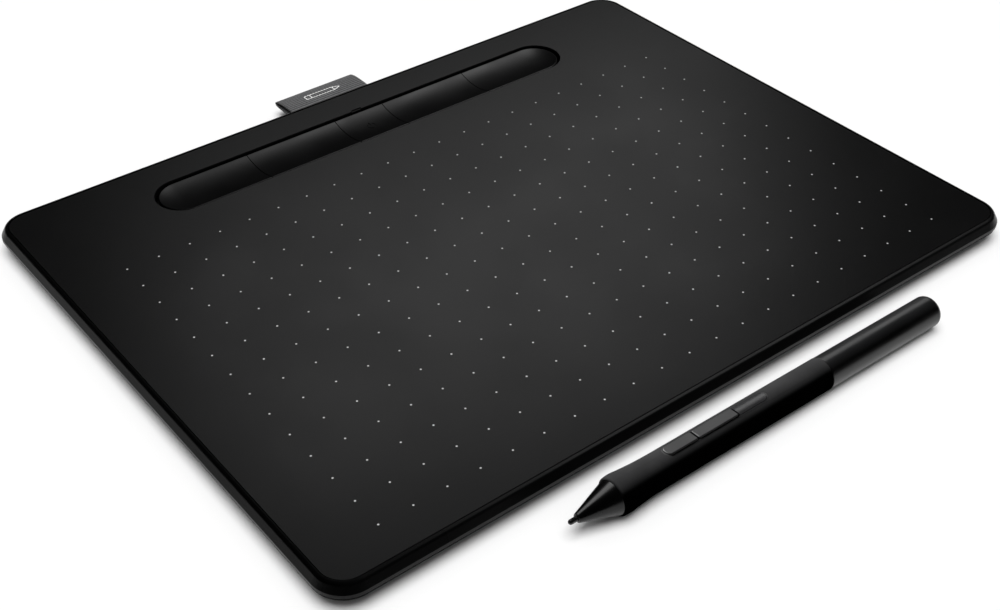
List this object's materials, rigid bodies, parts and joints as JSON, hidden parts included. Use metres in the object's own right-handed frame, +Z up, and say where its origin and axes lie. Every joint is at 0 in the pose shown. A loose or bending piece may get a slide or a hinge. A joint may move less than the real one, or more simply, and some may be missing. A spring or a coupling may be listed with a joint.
{
  "type": "pen drawing tablet",
  "caption": "Slim flat drawing tablet with a dotted drawing surface, a rounded strip of press keys, a fabric pen loop and a cordless stylus lying in front.",
  "frame": {"origin": "on the floor under the middle of the whole set's box (tablet, pen and fabric loop)", "axes": "+Z up; X along the tablet's long side; +Y from the pen towards the keys and the fabric loop"},
  "size_m": [0.264, 0.2326, 0.0116],
  "materials": {
    "cover_plastic": "fine-grained satin black moulding",
    "surface_film": "paper-textured matt black film with pale dots",
    "key_plastic": "satin black moulding",
    "tray_plastic": "dull black moulding",
    "light_pipe": "milky light guide",
    "lamp": "clear lamp",
    "foot_rubber": "matt rubber",
    "screw_steel": "zinc plated",
    "label_film": "blank silver-grey film",
    "circuit_board": "solder mask green",
    "port_steel": "plated shell",
    "part_black": "black moulding compound",
    "can_steel": "tinned sheet",
    "flex_film": "amber polyimide film",
    "battery_foil": "pouch foil",
    "wire_jacket": "wire insulation",
    "loop_fabric": "ribbed woven dark grey tape",
    "bar_steel": "plain steel",
    "pen_soft_black": "soft-touch matt black",
    "pen_cone_gloss": "gloss black",
    "nib_plastic": "hard black polymer",
    "pen_inner_plastic": "grey moulding",
    "pen_button_plastic": "satin black moulding",
    "inlay_gloss": "gloss black strip without lettering",
    "pen_rear_satin": "satin black moulding",
    "core_ferrite": "sintered ferrite",
    "coil_copper": "enamelled copper wire"
  },
  "bodies": {
    "tablet": {"top_cover": "cover_plastic", "drawing_surface": "surface_film", "bottom_cover": "cover_plastic", "key_tray": "tray_plastic", "key_switches": "screw_steel", "status_light_pipe": "light_pipe", "status_led": "lamp", "foot_front_left": "foot_rubber", "foot_front_right": "foot_rubber", "foot_back_left": "foot_rubber", "foot_back_right": "foot_rubber", "case_screws": "screw_steel", "rating_label": "label_film", "main_board": "circuit_board", "board_screws": "screw_steel", "usb_shell": "port_steel", "usb_tongue": "part_black", "control_chip": "part_black", "radio_module": "can_steel", "board_connector": "part_black", "battery_connector": "part_black", "sensor_board": "circuit_board", "shield_plate": "can_steel", "sensor_connector": "part_black", "sensor_cable": "flex_film", "battery_pack": "battery_foil", "battery_lead": "wire_jacket", "pen_loop": "loop_fabric", "loop_bar": "bar_steel"},
    "key_outer_left": {"key_outer_left": "key_plastic"},
    "key_inner_left": {"key_inner_left": "key_plastic"},
    "power_key": {"power_key": "key_plastic"},
    "key_inner_right": {"key_inner_right": "key_plastic"},
    "key_outer_right": {"key_outer_right": "key_plastic"},
    "pen": {"pen_grip": "pen_soft_black", "pen_nose_cone": "pen_cone_gloss", "pen_switch_frame": "pen_button_plastic", "pen_inlay": "inlay_gloss", "pen_carrier": "pen_inner_plastic", "pen_board": "circuit_board", "pen_switches": "screw_steel", "pen_core": "core_ferrite", "pen_coil": "coil_copper", "pressure_sensor": "pen_inner_plastic", "spare_nibs": "nib_plastic"},
    "nib": {"pen_nib": "nib_plastic", "nib_plunger": "pen_inner_plastic"},
    "lower_button": {"pen_lower_button": "pen_button_plastic"},
    "upper_button": {"pen_upper_button": "pen_button_plastic"},
    "rear_barrel": {"pen_rear_barrel": "pen_rear_satin"}
  },
  "joints": [
    {"name": "key_outer_left_press", "type": "slide", "parent": "tablet", "child": "key_outer_left", "axis": [0, 0, -1], "range_m": [0, 0.0005], "stiffness_N_per_m": 2500, "springref_m": -0.0002},
    {"name": "key_inner_left_press", "type": "slide", "parent": "tablet", "child": "key_inner_left", "axis": [0, 0, -1], "range_m": [0, 0.0005], "stiffness_N_per_m": 2500, "springref_m": -0.0002},
    {"name": "power_key_press", "type": "slide", "parent": "tablet", "child": "power_key", "axis": [0, 0, -1], "range_m": [0, 0.0005], "stiffness_N_per_m": 2500, "springref_m": -0.0002},
    {"name": "key_inner_right_press", "type": "slide", "parent": "tablet", "child": "key_inner_right", "axis": [0, 0, -1], "range_m": [0, 0.0005], "stiffness_N_per_m": 2500, "springref_m": -0.0002},
    {"name": "key_outer_right_press", "type": "slide", "parent": "tablet", "child": "key_outer_right", "axis": [0, 0, -1], "range_m": [0, 0.0005], "stiffness_N_per_m": 2500, "springref_m": -0.0002},
    {"name": "pen_lift", "type": "slide", "parent": "tablet", "child": "pen", "axis": [0, 0, 1], "range_m": [0, 0.15]},
    {"name": "nib_press", "type": "slide", "parent": "pen", "child": "nib", "axis": [1, 0, -0.0062], "range_m": [0, 0.0005], "stiffness_N_per_m": 2000, "springref_m": -0.0002},
    {"name": "lower_button_press", "type": "slide", "parent": "pen", "child": "lower_button", "axis": [-0.0062, -0.061, -0.9981], "range_m": [0, 0.0003], "stiffness_N_per_m": 2500, "springref_m": -0.0002},
    {"name": "upper_button_press", "type": "slide", "parent": "pen", "child": "upper_button", "axis": [-0.0062, -0.061, -0.9981], "range_m": [0, 0.0003], "stiffness_N_per_m": 2500, "springref_m": -0.0002},
    {"name": "rear_barrel_pull", "type": "slide", "parent": "pen", "child": "rear_barrel", "axis": [1, 0, -0.0062], "range_m": [0, 0.06]}
  ]
}
